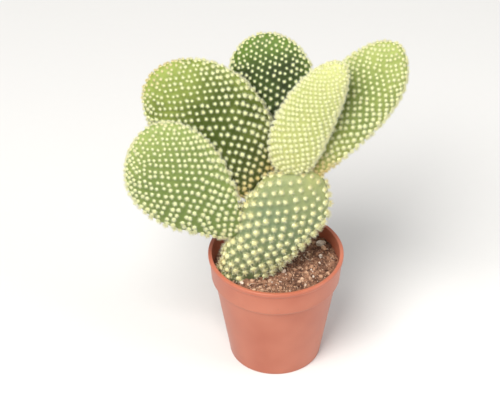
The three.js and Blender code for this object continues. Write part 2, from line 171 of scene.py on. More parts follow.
# Bristles of a tuft: how their lean grows outward, their seats in shares of the cushion's radius, their
# lengths in shares of the longest, how far they stray in radians and in tone, and how far a tip is bowed
# aside in shares of the length
FAN_POWER = 0.6
SEAT_RADIUS = 0.8
SEAT_DOME = 0.5
OUTER_SHORTENING = 0.25
SHORTEST_BRISTLE = 0.72
TURN_STRAY = 0.3
LEAN_STRAY = 0.14
TONE_STRAY = 0.06
BRISTLE_SEED_SHIFT = 100
BRISTLE_BOW = (0.03, 0.16)

# Skin colour: where it starts to pale toward the tip, how far the tip and the margin go toward the margin's
# colour, how far the foot goes toward its own and how high that reaches, and how pale areoles' spots are
FRESH_START = 0.56
TIP_PALENESS = 0.75
MARGIN_PALENESS = 0.75
FOOT_SHARE = 0.9
FOOT_REACH = 0.45
SPOT_PALENESS = 0.3

# Skin mesh: rings from foot to tip, closer toward the tip, and points round each. The skin is uneven in two
# wavelengths, with the share of each.
SKIN_RINGS = 116
SKIN_SIDES = 132
SKIN_EASE = 1.35
UNEVEN_WAVES_MM = (17, 6)
UNEVEN_SHARES = (1, 0.4)

# Pot, as in the solids
POT_WALL_MM = 1.0
LIP_HEIGHT_MM = 1.6
LIP_OVERHANG_MM = 0.6
COLLAR_HEIGHT_MM = 11.3
COLLAR_FOOT_RADIUS_MM = 26.2
STEP_DROP_MM = 1.2
BODY_TOP_RADIUS_MM = 24.8
BASE_RADIUS_MM = 18.6
FLOOR_UNDERSIDE_MM = 1.0
FLOOR_THICKNESS_MM = 1.1
FOOT_RING_WIDTH_MM = 1.6
CENTRE_DISC_RADIUS_MM = 5.0
DRAIN_HOLES = 6
DRAIN_RADIUS_MM = 2.1
DRAIN_CIRCLE_MM = 11.5
DRAIN_SIDES = 32
EDGE_ROUNDING_MM = 0.5
EDGE_STEPS = 5
EDGE_SHARE = 0.45
POT_SIDES = 160

# Peat: its level and slope as in the solids, broad swells, lumps in two sizes, and its mesh
SOIL_LEVEL_MM = 43.4
SOIL_RISE_X = 0.045
SOIL_RISE_FRONT = 0.02
SWELL_HEIGHT_MM = 1.3
LUMP_HEIGHT_MM = 0.4
COARSE_LUMP_MM = 2.4
FINE_LUMP_MM = 1.1
FINE_LUMP_SHARE = 0.6
SOIL_RINGS = 72
SOIL_SIDES = 170
PEAT_CLEARANCE_MM = 0.05

# Heights and radii of the pot that follow from these
COLLAR_TOP_RADIUS_MM = RIM_RADIUS / MM - LIP_OVERHANG_MM
COLLAR_FOOT_MM = POT_HEIGHT / MM - COLLAR_HEIGHT_MM
BODY_TOP_MM = COLLAR_FOOT_MM - STEP_DROP_MM
FLOOR_TOP_MM = FLOOR_UNDERSIDE_MM + FLOOR_THICKNESS_MM

# Crumbs strewn over the peat: layers with the detail of their shapes, the diameter of the largest in shares
# of the coarse or fine crumb, the smallest in shares of that, their distance in millimetres and how many may
# lie on a square metre. Crumbs and fibres are raised a little, and turned up to their tilt either way.
CRUMB_LAYERS = (
    ("coarse", 2, "coarse", 1.0, 0.55, 2.6, 2.5e5),
    ("middle", 1, "coarse", 0.55, 0.6, 1.15, 9e5),
    ("fine", 1, "fine", 1.9, 0.5, 0.72, 2.4e6),
)
CRUMB_KINDS = 5
CRUMB_TILT = (math.pi, math.pi, math.pi)
CRUMB_RISE = 0.12
FIBRE_KINDS = 4
FIBRE_DISTANCE_MM = 2.6
FIBRE_DENSITY = 8e4
FIBRE_TILT = (0.12, 0.25, math.pi)
FIBRE_RISE_MM = 0.5
SHORTEST_FIBRE = 0.4
FIBRE_SEED_SHIFT = 9
SIZE_SEED_SHIFT = 11.0

# A crumb's sizes against a ball's, and the height and closeness of its lumps
GRAIN_STRETCH = ((0.8, 1.1), (0.65, 0.95), (0.5, 0.8))
GRAIN_LUMPS = 0.5
GRAIN_WAVES = 2.6

# Pale grains that stand out of the peat: place, diameter and tone
PALE_GRAINS = (
    (3.2, -5.7, 1.9, 0.97),
    (18.5, 12.6, 3.6, 0.99),
    (19.6, 8.6, 2.2, 0.78),
    (-10.5, -19.4, 2.0, 0.86),
    (23.0, 4.6, 1.8, 0.8),
    (9.5, -12.6, 1.6, 0.84),
    (14.6, -3.0, 2.1, 0.66),
    (-18.5, 10.0, 2.2, 0.82),
    (-3.5, 18.5, 2.0, 0.9),
)
PALE_KINDS = 3
PALE_DETAIL = 3
PALE_LEAN = 0.4
PALE_RISE = 0.2
PALE_SEED = 5

# Camera: the photograph's viewpoint, with a lens that fills the frame with this one plant
CAMERA_PLACE_MM = (1.16, -717.0, 626.3)
CAMERA_TARGET_MM = (-10.5, 0.0, 73.4)
SENSOR_WIDTH_MM = 36
FLOOR_HALF_WIDTH = 3.0
LIGHTS_LOOK_AT = Vector((0, 0, 1.6 * POT_HEIGHT))


def linear(hex_colour):
    """Linear RGBA of an sRGB hex colour."""
    channels = [int(hex_colour[i:i + 2], 16) / 255 for i in (1, 3, 5)]
    return (*[c / 12.92 if c <= 0.04045 else ((c + 0.055) / 1.055) ** 2.4 for c in channels], 1.0)


def per_mm(size_mm):
    """Texture scale that makes one feature of a pattern this many millimetres wide."""
    return 1 / (size_mm * MM)


def smoothstep(value, low, high):
    """Rises smoothly from 0 at low to 1 at high."""
    share = np.clip((np.asarray(value, float) - low) / (high - low), 0, 1)
    return share * share * (3 - 2 * share)


def add_node(tree, kind, inputs=None, **settings):
    """Adds a node, sets its properties, and sets or links its inputs by name or number."""
    node = tree.nodes.new(kind)
    for name, value in settings.items():
        setattr(node, name, value)
    for key, value in (inputs or {}).items():
        if isinstance(value, bpy.types.NodeSocket):
            tree.links.new(value, node.inputs[key])
        else:
            node.inputs[key].default_value = value
    return node


class Pad:
    """Axes, outline and areole lattice of one pad, worked out from its few sizes, in metres."""

    def __init__(self, name, sizes):
        self.name = name
        self.node = f"pad_{name}"
        self.slot = "old_pad" if name == "base" else "young_pad"
        self.foot = np.array(sizes["foot"]) * MM
        self.tip = np.array(sizes["tip"]) * MM
        self.width = sizes["width"] * MM
        self.thickness = sizes["thickness"] * MM
        self.bend = sizes["bend"] * MM
        self.spacing = sizes["spacing"] * MM
        self.paling_start = sizes.get("paling_start", FRESH_START)
        for key in OTHER_SIZES:
            setattr(self, key, sizes[key])
        self.length = np.linalg.norm(self.tip - self.foot)
        self.axis = (self.tip - self.foot) / self.length
        azimuth, rise = np.radians(sizes["face"])
        facing = np.array([
            math.sin(azimuth) * math.cos(rise),
            -math.cos(azimuth) * math.cos(rise),
            math.sin(rise),
        ])
        facing -= facing.dot(self.axis) * self.axis
        self.normal = facing / np.linalg.norm(facing)
        self.across = np.cross(self.normal, self.axis)
        self.measure()

    def outline(self, t):
        """Share of the full width at t, from 0 at the foot to 1 at the tip."""
        beyond = np.clip((t - self.widest) / (1 - self.widest), 0, 1)
        below = np.clip((self.widest - t) / self.widest, 0, 1)
        upper = (1 - beyond ** self.crown) ** (1 / self.crown)
        lower = (1 - (1 - self.neck ** (1 / self.taper)) * below ** 2) ** self.taper
        return np.where(t > self.widest, upper, lower)

    def surface(self, t, angle):
        """Surface points at t and at an angle round the section."""
        share = self.outline(t)
        sine = np.sin(angle)
        deep = self.thickness / 2 * share ** THICKNESS_POWER * np.sign(sine) * np.abs(sine) ** EDGE_POWER
        wide = self.bend * 4 * t * (1 - t) + self.width / 2 * share * np.cos(angle)
        return (
            self.foot
            + (self.length * t)[..., None] * self.axis
            + wide[..., None] * self.across
            + deep[..., None] * self.normal
        )

    def slopes(self, t, angle):
        """How fast a surface point moves with t and with the angle."""
        step = 1e-3
        t = np.clip(t, step, 1 - step)
        along = (self.surface(t + step, angle) - self.surface(t - step, angle)) / (2 * step)
        around = (self.surface(t, angle + step) - self.surface(t, angle - step)) / (2 * step)
        return along, around

    def outward(self, t, angle):
        """Unit vectors that point out of the surface."""
        along, around = self.slopes(t, angle)
        out = np.cross(around, along)
        return out / np.linalg.norm(out, axis=-1, keepdims=True)

    def holds(self, point, grow):
        """True where a point lies inside the pad grown by grow."""
        offset = point - self.foot
        t = offset.dot(self.axis) / self.length
        if not -grow / self.length < t < 1 + grow / self.length:
            return False
        inner = np.clip(t, 0, 1)
        share = float(self.outline(inner))
        wide = self.width / 2 * share + grow
        thick = self.thickness / 2 * share ** THICKNESS_POWER + grow
        side = (offset.dot(self.across) - self.bend * 4 * inner * (1 - inner)) / wide
        return side ** 2 + (offset.dot(self.normal) / thick) ** 2 < 1

    def crowding(self, t, angle):
        """How many areoles stand on a patch here for each one on such a patch of the broad side."""
        apex = self.crowd[0] * smoothstep(t, APEX_START, 1)
        foot = self.crowd[1] * (1 - smoothstep(t, 0, FOOT_END))
        return (1 + apex + foot) * (1 + MARGIN_CROWDING * np.abs(np.cos(angle)) ** MARGIN_SHARPNESS)

    def measure(self):
        """Tables of the crowded surface, band by band from foot to tip, that the lattice shares out."""
        edges = 1 - (1 - np.arange(PROFILE_STEPS + 1) / PROFILE_STEPS) ** 2
        turns = 2 * np.pi * np.arange(SECTION_STEPS + 1) / SECTION_STEPS
        middles = (edges[:-1] + edges[1:]) / 2
        t, angle = np.meshgrid(middles, turns, indexing="ij")
        run = np.linalg.norm(np.diff(self.surface(t, angle), axis=1), axis=-1)
        crowds = self.crowding(t[:, :-1], angle[:, :-1] + np.pi / SECTION_STEPS)
        t, angle = np.meshgrid(edges, turns[:-1], indexing="ij")
        rise = np.linalg.norm(np.diff(self.surface(t, angle), axis=0), axis=-1)
        shares = np.cumsum(run * rise * crowds, axis=1)
        self.edges = edges
        self.arcs = np.concatenate([np.zeros((PROFILE_STEPS, 1)), shares], axis=1)
        self.ends = np.cumsum(self.arcs[:, -1])

    def lattice(self):
        """t and angle of each areole, on a golden-angle lattice over the crowded surface."""
        total = self.ends[-1]
        count = round(total / (CELL_AREA * self.spacing ** 2))
        found = []
        for k in range(count):
            target = total * (k + 0.5) / count
            band = int(np.searchsorted(self.ends, target))
            start = self.ends[band - 1] if band else 0.0
            inside = (target - start) / (self.ends[band] - start)
            t = self.edges[band] + (self.edges[band + 1] - self.edges[band]) * inside
            arcs = self.arcs[band]
            wanted = (k * GOLDEN) % 1 * arcs[-1]
            step = np.interp(wanted, arcs, np.arange(SECTION_STEPS + 1))
            found.append((t, 2 * math.pi * step / SECTION_STEPS))
        return self.settled(*np.array(found).T)

    def settled(self, t, angle):
        """Areoles after they have pushed each other apart, with a little disorder left."""
        for _ in range(SETTLING_ROUNDS):
            points = self.surface(t, angle)
            away = points[:, None] - points
            gaps = np.linalg.norm(away, axis=-1)
            np.fill_diagonal(gaps, np.inf)
            reach = SETTLING_REACH * self.spacing / np.sqrt(self.crowding(t, angle))[:, None]
            push = SETTLING_SHARE * np.clip(reach / gaps - 1, 0, 1)
            t, angle = self.shifted(t, angle, (push[..., None] * away).sum(axis=1))
        stray = np.random.default_rng(len(t)).normal(size=(len(t), 3))
        return self.shifted(t, angle, STRAY * self.spacing * stray)

    def shifted(self, t, angle, offset):
        """t and angle of surface points after a short shift along the surface."""
        along, around = self.slopes(t, angle)
        t = t + (offset * along).sum(axis=1) / (along ** 2).sum(axis=1)
        angle = angle + (offset * around).sum(axis=1) / (around ** 2).sum(axis=1)
        return np.clip(t, 0, 1), angle


def soil_height(x, y):
    """Height of the peat at a place, in metres: a gentle slope with swells of three sizes."""
    x, y = np.asarray(x) / MM, np.asarray(y) / MM
    swells = (
        0.45 * np.sin(0.55 * x + 1.3) * np.cos(0.48 * y - 0.4)
        + 0.3 * np.sin(1.15 * x - 0.9 * y)
        + 0.25 * np.cos(1.7 * y + 0.8 * x + 2)
    )
    return MM * (SOIL_LEVEL_MM + SOIL_RISE_X * x - SOIL_RISE_FRONT * y + SWELL_HEIGHT_MM * swells)


def unevenness(points):
    """Smooth noise from about -1 to 1 at each point, in two wavelengths."""
    values = np.zeros(len(points))
    for wave, share in zip(UNEVEN_WAVES_MM, UNEVEN_SHARES):
        values += share * np.array([noise.noise(Vector(p / (wave * MM))) for p in points])
    return values


def mesh_object(name, points, faces=(), smooth=True, attributes=None):
    """A mesh object with float or vector attributes on its points."""
    mesh = bpy.data.meshes.new(name)
    mesh.from_pydata([tuple(p) for p in points], [], faces)
    mesh.polygons.foreach_set("use_smooth", [smooth] * len(mesh.polygons))
    for key, values in (attributes or {}).items():
        values = np.asarray(values, dtype=np.float32)
        kind, field = ("FLOAT_VECTOR", "vector") if values.ndim == 2 else ("FLOAT", "value")
        mesh.attributes.new(key, kind, "POINT").data.foreach_set(field, values.ravel())
    mesh.update()
    piece = bpy.data.objects.new(name, mesh)
    bpy.context.scene.collection.objects.link(piece)
    return piece


def ring_faces(rings, sides):
    """Faces of a skin over closed rings whose last two points are those at its foot and at its tip."""
    foot = rings * sides
    tip = foot + 1
    faces = []
    for side in range(sides):
        after = (side + 1) % sides
        faces.append((foot, after, side))
        for ring in range(rings - 1):
            low, high = ring * sides, (ring + 1) * sides
            faces.append((low + side, low + after, high + after, high + side))
        last = (rings - 1) * sides
        faces.append((tip, last + side, last + after))
    return faces


def settle(piece, slot, *nodes):
    """Lets a finished piece ride on the plant's one body and hides the nodes it stands for; slot is not used.
    """
    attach(piece, "root")
    if nodes:
        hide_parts(*nodes)


def new_tree(name, sockets):
    """An empty Geometry Nodes tree with a geometry input and output and the named inputs."""
    tree = bpy.data.node_groups.new(name, "GeometryNodeTree")
    tree.interface.new_socket("Geometry", in_out="INPUT", socket_type="NodeSocketGeometry")
    tree.interface.new_socket("Geometry", in_out="OUTPUT", socket_type="NodeSocketGeometry")
    for label, kind in sockets.items():
        tree.interface.new_socket(label, in_out="INPUT", socket_type=kind)
    return tree


def grow_by(tree, piece, values):
    """Runs a tree on a piece with these inputs, and leaves the result as the piece's plain mesh."""
    modifier = piece.modifiers.new(tree.name, "NODES")
    modifier.node_group = tree
    for item in tree.interface.items_tree:
        if item.in_out == "INPUT" and item.name in values:
            modifier[item.identifier] = values[item.name]
    graph = bpy.context.evaluated_depsgraph_get()
    piece.data = bpy.data.meshes.new_from_object(
        piece.evaluated_get(graph), preserve_all_data_layers=True, depsgraph=graph,
    )
    piece.data.name = piece.name
    piece.modifiers.clear()


def stand_copies(tree, given, points, rotation, scale):
    """Ends a tree: stands its copies on points, makes them real and gives them their material."""
    copies = add_node(
        tree, "GeometryNodeCollectionInfo",
        {"Collection": given["Copies"], "Separate Children": True, "Reset Children": True},
    )
    standing = add_node(tree, "GeometryNodeInstanceOnPoints", {
        "Points": points,
        "Instance": copies.outputs["Instances"],
        "Pick Instance": True,
        "Rotation": rotation,
        "Scale": scale,
    })
    real = add_node(tree, "GeometryNodeRealizeInstances", {"Geometry": standing.outputs["Instances"]})
    dressed = add_node(tree, "GeometryNodeSetMaterial", {
        "Geometry": real.outputs["Geometry"],
        "Material": given["Material"],
    })
    add_node(tree, "NodeGroupOutput", {"Geometry": dressed.outputs["Geometry"]})


def copies_tree():
    """Stands copies on given points, turned to face outward and spun at random."""
    tree = bpy.data.node_groups.get("placed_copies")
    if tree:
        return tree
    tree = new_tree("placed_copies", {
        "Copies": "NodeSocketCollection",
        "Seed": "NodeSocketInt",
        "Material": "NodeSocketMaterial",
    })
    given = add_node(tree, "NodeGroupInput").outputs
    facing = add_node(tree, "GeometryNodeInputNamedAttribute", {"Name": "facing"}, data_type="FLOAT_VECTOR")
    spread = add_node(tree, "GeometryNodeInputNamedAttribute", {"Name": "spread"}, data_type="FLOAT")
    upright = add_node(
        tree, "FunctionNodeAlignRotationToVector", {"Vector": facing.outputs["Attribute"]}, axis="Z",
    )
    spin = add_node(
        tree, "FunctionNodeRandomValue",
        {0: (0, 0, 0), 1: (0, 0, 2 * math.pi), "Seed": given["Seed"]}, data_type="FLOAT_VECTOR",
    )
    turned = add_node(tree, "FunctionNodeEulerToRotation", {"Euler": spin.outputs[0]})
    rotation = add_node(
        tree, "FunctionNodeRotateRotation",
        {"Rotation": upright.outputs["Rotation"], "Rotate By": turned.outputs["Rotation"]},
        rotation_space="LOCAL",
    )
    stand_copies(tree, given, given["Geometry"], rotation.outputs["Rotation"], spread.outputs["Attribute"])
    return tree


def scatter_tree():
    """Strews copies over a face at even distances, each with a random size, turn and tone."""
    tree = bpy.data.node_groups.get("strewn_copies")
    if tree:
        return tree
    tree = new_tree("strewn_copies", {
        "Copies": "NodeSocketCollection",
        "Distance": "NodeSocketFloat",
        "Density": "NodeSocketFloat",
        "Smallest": "NodeSocketFloat",
        "Largest": "NodeSocketFloat",
        "Tilt": "NodeSocketVector",
        "Rise": "NodeSocketFloat",
        "Seed": "NodeSocketInt",
        "Material": "NodeSocketMaterial",
    })
    given = add_node(tree, "NodeGroupInput").outputs
    strewn = add_node(tree, "GeometryNodeDistributePointsOnFaces", {
        "Mesh": given["Geometry"],
        "Distance Min": given["Distance"],
        "Density Max": given["Density"],
        "Seed": given["Seed"],
    }, distribute_method="POISSON")
    rise = add_node(tree, "ShaderNodeCombineXYZ", {"Z": given["Rise"]})
    raised = add_node(tree, "GeometryNodeSetPosition", {
        "Geometry": strewn.outputs["Points"],
        "Offset": rise.outputs["Vector"],
    })
    tone = add_node(tree, "FunctionNodeRandomValue", {
        2: 0.0,
        3: 1.0,
        "Seed": given["Seed"],
    }, data_type="FLOAT")
    toned = add_node(
        tree, "GeometryNodeStoreNamedAttribute",
        {"Geometry": raised.outputs["Geometry"], "Name": "tone", "Value": tone.outputs[1]},
        data_type="FLOAT", domain="POINT",
    )
    next_seed = add_node(tree, "ShaderNodeMath", {0: given["Seed"], 1: SIZE_SEED_SHIFT}, operation="ADD")
    back = add_node(tree, "ShaderNodeVectorMath", {0: given["Tilt"], 1: (-1, -1, -1)}, operation="MULTIPLY")
    turn = add_node(tree, "FunctionNodeRandomValue", {
        0: back.outputs["Vector"],
        1: given["Tilt"],
        "Seed": next_seed.outputs[0],
    }, data_type="FLOAT_VECTOR")
    size = add_node(tree, "FunctionNodeRandomValue", {
        2: given["Smallest"],
        3: given["Largest"],
        "Seed": next_seed.outputs[0],
    }, data_type="FLOAT")
    stand_copies(tree, given, toned.outputs["Geometry"], turn.outputs[0], size.outputs[1])
    return tree


def new_material(name):
    """A material with an empty tree."""
    material = bpy.data.materials.new(name)
    material.use_nodes = True
    material.node_tree.nodes.clear()
    return material


def finished(material, inputs):
    """Ends a material in a shader with these values and links."""
    tree = material.node_tree
    shader = add_node(tree, "ShaderNodeBsdfPrincipled", inputs)
    add_node(tree, "ShaderNodeOutputMaterial", {"Surface": shader.outputs["BSDF"]})
    return material


def shaded(tree, colour, pattern, limits, light):
    """A colour that a pattern lightens and darkens: from light[0] to light[1] of it between the limits."""
    amount = add_node(tree, "ShaderNodeMapRange", {
        "Value": pattern,
        "From Min": limits[0], "From Max": limits[1], "To Min": light[0], "To Max": light[1],
    })
    scaled = add_node(tree, "ShaderNodeVectorMath", {
        0: colour, "Scale": amount.outputs[0],
    }, operation="SCALE")
    return scaled.outputs["Vector"]


def epidermis(pad):
    """Living cactus skin: matt green under a thin bloom of wax, yellower where it is young.

    The broad side is mottled in patches of about a centimetre and speckled by pores of under half a
    millimetre, the margin and the tip are paler, the foot has a colour of its own, which on the upper left
    and centre back pads is painted shade, and each areole stands on a lighter spot. The centre back pad's
    colours are all darkened as painted shade.
    """
    material = new_material(f"waxy_epidermis_{pad.name}")
    tree = material.node_tree
    broad, margin, foot = (linear(colour) for colour in pad.skin)
    place = add_node(tree, "ShaderNodeTexCoord").outputs["Object"]
    along = add_node(tree, "ShaderNodeAttribute", attribute_name="along").outputs["Fac"]
    rim = add_node(tree, "ShaderNodeAttribute", attribute_name="rim").outputs["Fac"]
    spot = add_node(tree, "ShaderNodeAttribute", attribute_name="mound").outputs["Fac"]
    patches = add_node(tree, "ShaderNodeTexNoise", {"Vector": place, "Scale": per_mm(9), "Detail": 3.0})
    pores = add_node(tree, "ShaderNodeTexNoise", {"Vector": place, "Scale": per_mm(0.45), "Detail": 2.0})

    # Paling toward the tip; on the centre back pad it starts late, which keeps its upper part dark as painted
    # shade.
    young = add_node(tree, "ShaderNodeMapRange", {
        "Value": along, "From Min": pad.paling_start, "From Max": 1.0, "To Min": 0.0, "To Max": TIP_PALENESS,
    }, interpolation_type="SMOOTHSTEP")
    edge = add_node(tree, "ShaderNodeMath", {0: rim, 1: MARGIN_PALENESS}, operation="MULTIPLY")
    either = add_node(tree, "ShaderNodeMath", {
        0: young.outputs[0], 1: edge.outputs[0],
    }, operation="MAXIMUM")
    mottle = add_node(tree, "ShaderNodeMapRange", {
        "Value": patches.outputs["Fac"], "From Min": 0.3, "From Max": 0.7, "To Min": -0.22, "To Max": 0.24,
    })
    share = add_node(
        tree, "ShaderNodeMath", {0: either.outputs[0], 1: mottle.outputs[0]}, operation="ADD", use_clamp=True,
    )
    grown = add_node(tree, "ShaderNodeMix", {0: share.outputs[0], 6: broad, 7: margin}, data_type="RGBA")
    # Mix toward the foot's colour, which on the upper left and centre back pads is painted shade.
    old = add_node(tree, "ShaderNodeMapRange", {
        "Value": along, "From Min": 0.0, "From Max": FOOT_REACH, "To Min": FOOT_SHARE, "To Max": 0.0,
    })
    foot_toned = add_node(tree, "ShaderNodeMix", {
        0: old.outputs[0], 6: grown.outputs[2], 7: foot,
    }, data_type="RGBA")
    haloed = add_node(tree, "ShaderNodeMath", {0: spot, 1: SPOT_PALENESS}, operation="MULTIPLY")
    pale = add_node(tree, "ShaderNodeMix", {
        0: haloed.outputs[0], 6: foot_toned.outputs[2], 7: margin,
    }, data_type="RGBA")

    gloss = add_node(tree, "ShaderNodeMapRange", {
        "Value": patches.outputs["Fac"], "From Min": 0.3, "From Max": 0.7, "To Min": 0.5, "To Max": 0.64,
    })
    grain = add_node(tree, "ShaderNodeBump", {
        "Height": pores.outputs["Fac"], "Strength": 0.35, "Distance": 0.08 * MM,
    })
    return finished(material, {
        "Base Color": shaded(tree, pale.outputs[2], pores.outputs["Fac"], (0.35, 0.65), (0.92, 1.08)),
        "Roughness": gloss.outputs[0],
        "Normal": grain.outputs["Normal"],
        "IOR": 1.42,
        "Subsurface Weight": 0.18,
        "Subsurface Radius": (0.7, 1.0, 0.3),
        "Subsurface Scale": 1.2 * MM,
        "Specular IOR Level": 0.3,
    })


def aged_straw(tree, settings):
    """Colour of a tuft by its tone, from cream when young to golden brown when old."""
    tone = add_node(tree, "ShaderNodeAttribute", attribute_name="tone").outputs["Fac"]
    return add_node(tree, "ShaderNodeMix", {
        0: tone, 6: tuple(settings.cream), 7: tuple(settings.golden),
    }, data_type="RGBA").outputs[2]


def glochid_material(settings):
    """Dry barbed bristles: satin straw that lets light through, paler toward the tips."""
    material = new_material("straw_glochids")
    tree = material.node_tree
    rise = add_node(tree, "ShaderNodeAttribute", attribute_name="rise").outputs["Fac"]
    straw = aged_straw(tree, settings)
    return finished(material, {
        "Base Color": shaded(tree, straw, rise, (0.0, 1.0), (0.9, 1.06)),
        "Roughness": 0.5,
        "IOR": 1.45,
        "Subsurface Weight": 0.5,
        "Subsurface Radius": (1.0, 0.9, 0.6),
        "Subsurface Scale": 0.4 * MM,
    })


def felt_material(settings):
    """Wool of an areole: matt cream felt, mottled in fibres of a tenth of a millimetre, coarsened to show."""
    material = new_material("areole_wool")
    tree = material.node_tree
    place = add_node(tree, "ShaderNodeTexCoord").outputs["Object"]
    wool = add_node(tree, "ShaderNodeTexNoise", {"Vector": place, "Scale": per_mm(0.12), "Detail": 2.0})
    bump = add_node(tree, "ShaderNodeBump", {
        "Height": wool.outputs["Fac"], "Strength": 0.6, "Distance": 0.06 * MM,
    })
    straw = aged_straw(tree, settings)
    return finished(material, {
        "Base Color": shaded(tree, straw, wool.outputs["Fac"], (0.3, 0.7), (0.86, 1.04)),
        "Normal": bump.outputs["Normal"],
        "Roughness": 0.9,
        "Sheen Weight": 0.3,
    })


def plastic_material(settings):
    """Injection moulded polypropylene in terracotta red: satin, with faint flow shades and dust.

    Flow shades are about 2 cm wide, the skin's own grain is 0.3 mm, and peat dust gathers in spots.
    """
    material = new_material("moulded_terracotta_polypropylene")
    tree = material.node_tree
    place = add_node(tree, "ShaderNodeTexCoord").outputs["Object"]
    flow = add_node(tree, "ShaderNodeTexNoise", {"Vector": place, "Scale": per_mm(20), "Detail": 2.0})
    dust = add_node(tree, "ShaderNodeTexNoise", {"Vector": place, "Scale": per_mm(1.6), "Detail": 4.0})
    skin = add_node(tree, "ShaderNodeTexNoise", {"Vector": place, "Scale": per_mm(0.3), "Detail": 1.0})
    shade = add_node(tree, "ShaderNodeMapRange", {
        "Value": flow.outputs["Fac"], "From Min": 0.3, "From Max": 0.7,
    })
    body = add_node(tree, "ShaderNodeMix", {
        0: shade.outputs[0], 6: tuple(settings.plastic), 7: tuple(settings.plastic_light),
    }, data_type="RGBA")
    specks = add_node(tree, "ShaderNodeMapRange", {
        "Value": dust.outputs["Fac"], "From Min": 0.66, "From Max": 0.8, "To Min": 0.0, "To Max": 0.5,
    })
    dusty = add_node(tree, "ShaderNodeMix", {
        0: specks.outputs[0], 6: body.outputs[2], 7: linear("#9a6a4e"),
    }, data_type="RGBA")
    gloss = add_node(tree, "ShaderNodeMapRange", {
        "Value": flow.outputs["Fac"], "From Min": 0.3, "From Max": 0.7, "To Min": 0.34, "To Max": 0.46,
    })
    grain = add_node(tree, "ShaderNodeBump", {
        "Height": skin.outputs["Fac"], "Strength": 0.15, "Distance": 0.05 * MM,
    })
    return finished(material, {
        "Base Color": dusty.outputs[2],
        "Roughness": gloss.outputs[0],
        "Normal": grain.outputs["Normal"],
        "IOR": 1.49,
        "Subsurface Weight": 0.06,
        "Subsurface Radius": (1.0, 0.3, 0.15),
        "Subsurface Scale": 0.8 * MM,
    })


def peat_material():
    """Moist peat between the crumbs: matt, dark to light brown in clumps of a few millimetres."""
    material = new_material("moist_peat")
    tree = material.node_tree
    place = add_node(tree, "ShaderNodeTexCoord").outputs["Object"]
    clumps = add_node(tree, "ShaderNodeTexNoise", {"Vector": place, "Scale": per_mm(2.5), "Detail": 6.0})
    share = add_node(tree, "ShaderNodeMapRange", {
        "Value": clumps.outputs["Fac"], "From Min": 0.35, "From Max": 0.7,
    })
    brown = add_node(tree, "ShaderNodeMix", {
        0: share.outputs[0], 6: linear("#563a2d"), 7: linear("#a67b60"),
    }, data_type="RGBA")
    bump = add_node(tree, "ShaderNodeBump", {
        "Height": clumps.outputs["Fac"], "Strength": 0.8, "Distance": 0.4 * MM,
    })
    return finished(material, {
        "Base Color": brown.outputs[2],
        "Normal": bump.outputs["Normal"],
        "Roughness": 0.95,
    })


def grain_material():
    """Crumbs of peat, bark and grit: dark brown to tan by tone, and the palest nearly white."""
    material = new_material("peat_and_grit")
    tree = material.node_tree
    place = add_node(tree, "ShaderNodeTexCoord").outputs["Object"]
    tone = add_node(tree, "ShaderNodeAttribute", attribute_name="tone").outputs["Fac"]
    rough = add_node(tree, "ShaderNodeTexNoise", {"Vector": place, "Scale": per_mm(0.5), "Detail": 3.0})
    ramp = add_node(tree, "ShaderNodeValToRGB", {"Fac": tone})
    stops = ramp.color_ramp.elements
    stops[0].color = linear("#5a3d2f")
    stops[1].color = linear("#ece0d2")
    for at_tone, colour in ((0.35, "#90654b"), (0.65, "#b88d6f"), (0.93, "#d3b194")):
        stops.new(at_tone).color = linear(colour)
    bump = add_node(tree, "ShaderNodeBump", {
        "Height": rough.outputs["Fac"], "Strength": 0.5, "Distance": 0.15 * MM,
    })
    return finished(material, {
        "Base Color": shaded(tree, ramp.outputs["Color"], rough.outputs["Fac"], (0.3, 0.7), (0.7, 1.2)),
        "Normal": bump.outputs["Normal"],
        "Roughness": 0.85,
    })


def root_material():
    """Woody root bark: matt tan, mottled in browner patches of about a millimetre."""
    material = new_material("root_bark")
    tree = material.node_tree
    place = add_node(tree, "ShaderNodeTexCoord").outputs["Object"]
    patches = add_node(tree, "ShaderNodeTexNoise", {"Vector": place, "Scale": per_mm(1.2), "Detail": 5.0})
    bark = add_node(tree, "ShaderNodeMix", {
        0: patches.outputs["Fac"], 6: linear("#8d6b45"), 7: linear("#cdb084"),
    }, data_type="RGBA")
    return finished(material, {"Base Color": bark.outputs[2], "Roughness": 0.85})


def stage_material(colour):
    """Pale matt studio paper, evenly toned with a trace of fibre."""
    material = new_material("studio_paper")
    tree = material.node_tree
    place = add_node(tree, "ShaderNodeTexCoord").outputs["Object"]
    fibre = add_node(tree, "ShaderNodeTexNoise", {"Vector": place, "Scale": per_mm(4), "Detail": 2.0})
    return finished(material, {
        "Base Color": shaded(tree, tuple(colour)[:3], fibre.outputs["Fac"], (0.0, 1.0), (0.985, 1.0)),
        "Roughness": 0.9,
    })


class PearPadSettings(bpy.types.PropertyGroup):
    """Relief of the pads' skin."""

    mound_height: FloatProperty(
        name="Mound height", description="Height of the low mound under each areole",
        default=0.2 * MM, min=0, unit="LENGTH",
    )
    mound_radius: FloatProperty(
        name="Mound radius", description="Radius of the low mound under each areole",
        default=1.05 * MM, min=0.1 * MM, unit="LENGTH",
    )
    unevenness: FloatProperty(
        name="Unevenness", description="How far the skin swells and sinks by nature",
        default=0.25 * MM, min=0, unit="LENGTH",
    )


